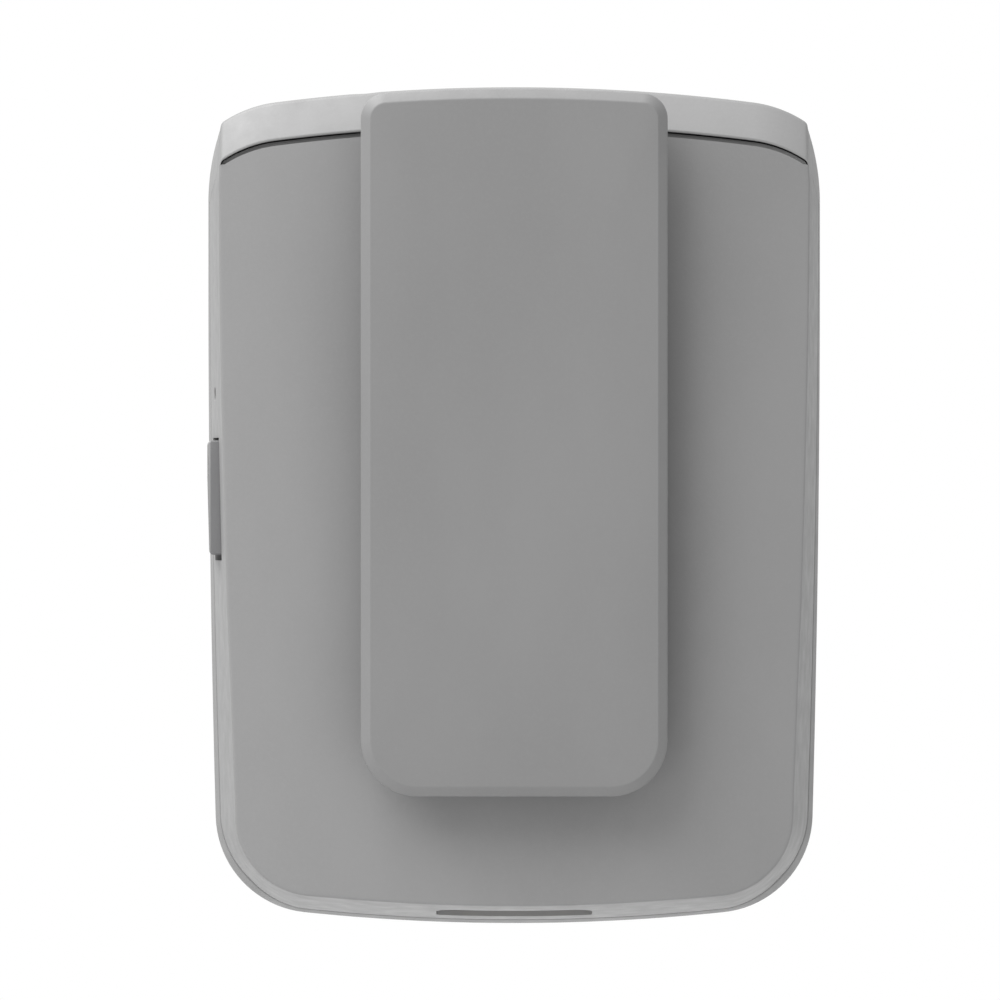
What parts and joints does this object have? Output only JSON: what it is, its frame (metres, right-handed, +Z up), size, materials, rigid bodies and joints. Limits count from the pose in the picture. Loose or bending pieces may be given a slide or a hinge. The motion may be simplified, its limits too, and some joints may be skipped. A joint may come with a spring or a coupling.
{
  "type": "wireless bodypack transmitter",
  "caption": "Belt-worn radio microphone transmitter with sprung rear clip, sloped top cap, locking jack, mute slide, side charging flap and battery pack that slides out of the front.",
  "frame": {"origin": "middle of the flat grip pad on the rear of the case, where a belt rests under the clip", "axes": "+X across the case, with the charging flap on the -X side; +Z up towards the jack and the mute slide; -Y out of the rear, towards the clip"},
  "size_m": [0.065, 0.0279, 0.0886],
  "materials": {
    "shell": "fine satin texture",
    "dark_plastic": "fine satin texture",
    "rubber": "matte",
    "steel": "satin",
    "contact_metal": "plated",
    "circuit_board": "solder mask",
    "chip": "moulded",
    "lens": "clear",
    "cell_wrap": "satin foil"
  },
  "bodies": {
    "root": {"rear_housing": "shell", "front_housing": "shell", "top_cap": "shell", "case_seal": "rubber", "inner_frame": "dark_plastic", "case_screw_1": "steel", "case_screw_2": "steel", "case_screw_3": "steel", "case_screw_4": "steel", "main_board": "circuit_board", "rf_shield": "steel", "signal_processor": "chip", "audio_codec": "chip", "charge_controller": "chip", "antenna_left": "contact_metal", "antenna_right": "contact_metal", "battery_contact_block": "dark_plastic", "battery_contact_pin_1": "contact_metal", "battery_contact_pin_2": "contact_metal", "battery_contact_pin_3": "contact_metal", "charging_contact_1": "contact_metal", "charging_contact_2": "contact_metal", "charging_contact_3": "contact_metal", "jack_socket": "dark_plastic", "jack_collar": "steel", "mute_switch_body": "steel", "power_switch": "steel", "link_lens": "lens", "battery_lens": "lens", "charge_lens": "lens", "usb_socket": "steel", "clip_bracket": "dark_plastic", "clip_hinge_pin": "steel", "clip_spring": "steel", "clip_screw_1": "steel", "clip_screw_2": "steel"},
    "clip": {"belt_clip": "shell"},
    "flap": {"usb_cover": "rubber"},
    "mute_knob": {"mute_switch_knob": "dark_plastic"},
    "power_key": {"power_button": "rubber"},
    "battery_pack": {"battery_shell_front": "shell", "battery_shell_back": "dark_plastic", "battery_cell": "cell_wrap", "battery_board": "circuit_board", "battery_pad_1": "contact_metal", "battery_pad_2": "contact_metal", "battery_pad_3": "contact_metal"},
    "latch": {"battery_latch": "dark_plastic"}
  },
  "joints": [
    {"name": "clip_hinge", "type": "hinge", "parent": "root", "child": "clip", "pos_m": [0, -0.00255, 0.028], "axis": [-1, 0, 0], "range_deg": [0, 14], "stiffness_Nm_per_rad": 0.4, "springref_deg": -22.92},
    {"name": "flap_hinge", "type": "hinge", "parent": "root", "child": "flap", "pos_m": [-0.0319, 0.00905, -0.0004], "axis": [0, -1, 0], "range_deg": [0, 105]},
    {"name": "mute_slide", "type": "slide", "parent": "root", "child": "mute_knob", "axis": [1, 0, 0], "range_m": [0, 0.003]},
    {"name": "power_press", "type": "slide", "parent": "root", "child": "power_key", "axis": [0, -1, 0], "range_m": [0, 0.0005], "stiffness_N_per_m": 100, "springref_m": -0.002},
    {"name": "battery_slide", "type": "slide", "parent": "root", "child": "battery_pack", "axis": [0, 1, 0], "range_m": [0, 0.012]},
    {"name": "latch_slide", "type": "slide", "parent": "battery_pack", "child": "latch", "axis": [0, 0, -1], "range_m": [0, 0.0012], "stiffness_N_per_m": 60, "springref_m": -0.003}
  ]
}
